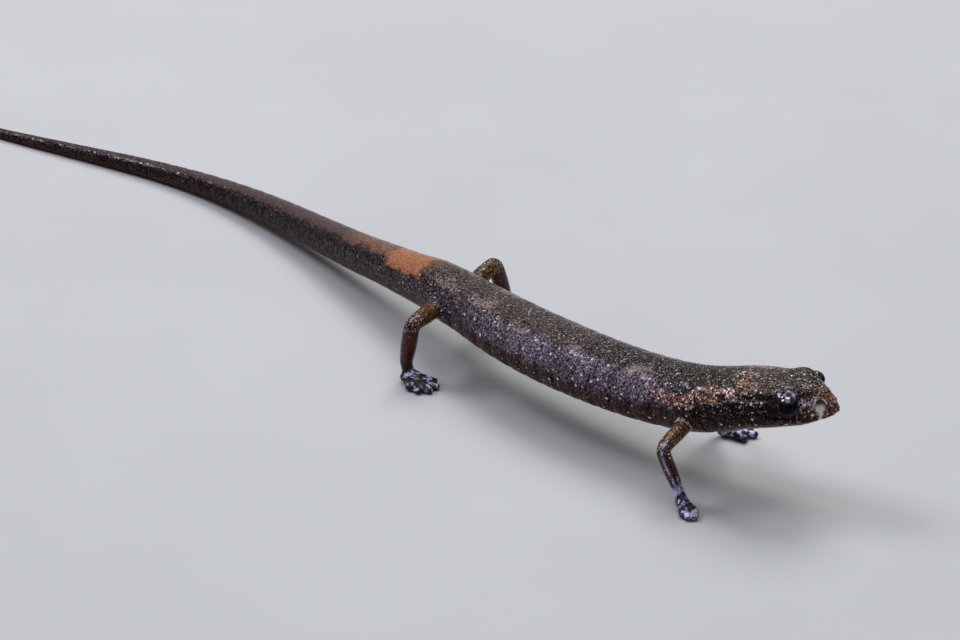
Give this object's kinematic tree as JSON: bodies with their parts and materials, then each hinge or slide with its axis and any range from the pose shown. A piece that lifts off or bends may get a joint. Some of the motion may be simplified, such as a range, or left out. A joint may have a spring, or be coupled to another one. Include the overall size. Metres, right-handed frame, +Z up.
{
  "type": "baja verapaz salamander",
  "caption": "Small slender long-tailed salamander walking with its head raised, a still life-size model on spread feet.",
  "frame": {"origin": "middle of the overall box, on the floor under the feet", "axes": "+X from the tail towards the snout, +Y to the animal's left, +Z up"},
  "size_m": [0.0638, 0.0108, 0.0061],
  "materials": {
    "body_skin": "moist dark brown skin with dense fine cream and copper flecks",
    "tail_base_skin": "moist skin with a rust orange patch over the tail base",
    "tail_skin": "moist purple brown to black skin",
    "limb_skin": "moist copper coloured skin",
    "lower_limb_skin": "moist dark red brown skin",
    "foot_skin": "wet blackish violet skin with pale flecks",
    "eye": "glossy black eye"
  },
  "bodies": {
    "root": {"head": "body_skin", "neck": "body_skin", "torso": "body_skin", "hips": "body_skin", "tail_1": "tail_base_skin", "tail_2": "tail_skin", "tail_3": "tail_skin", "tail_4": "tail_skin", "eye_right": "eye", "eye_left": "eye", "upper_arm_right": "limb_skin", "forearm_right": "lower_limb_skin", "hand_right": "foot_skin", "thigh_right": "limb_skin", "shank_right": "lower_limb_skin", "foot_right": "foot_skin", "upper_arm_left": "limb_skin", "forearm_left": "lower_limb_skin", "hand_left": "foot_skin", "thigh_left": "limb_skin", "shank_left": "lower_limb_skin", "foot_left": "foot_skin"}
  },
  "joints": []
}
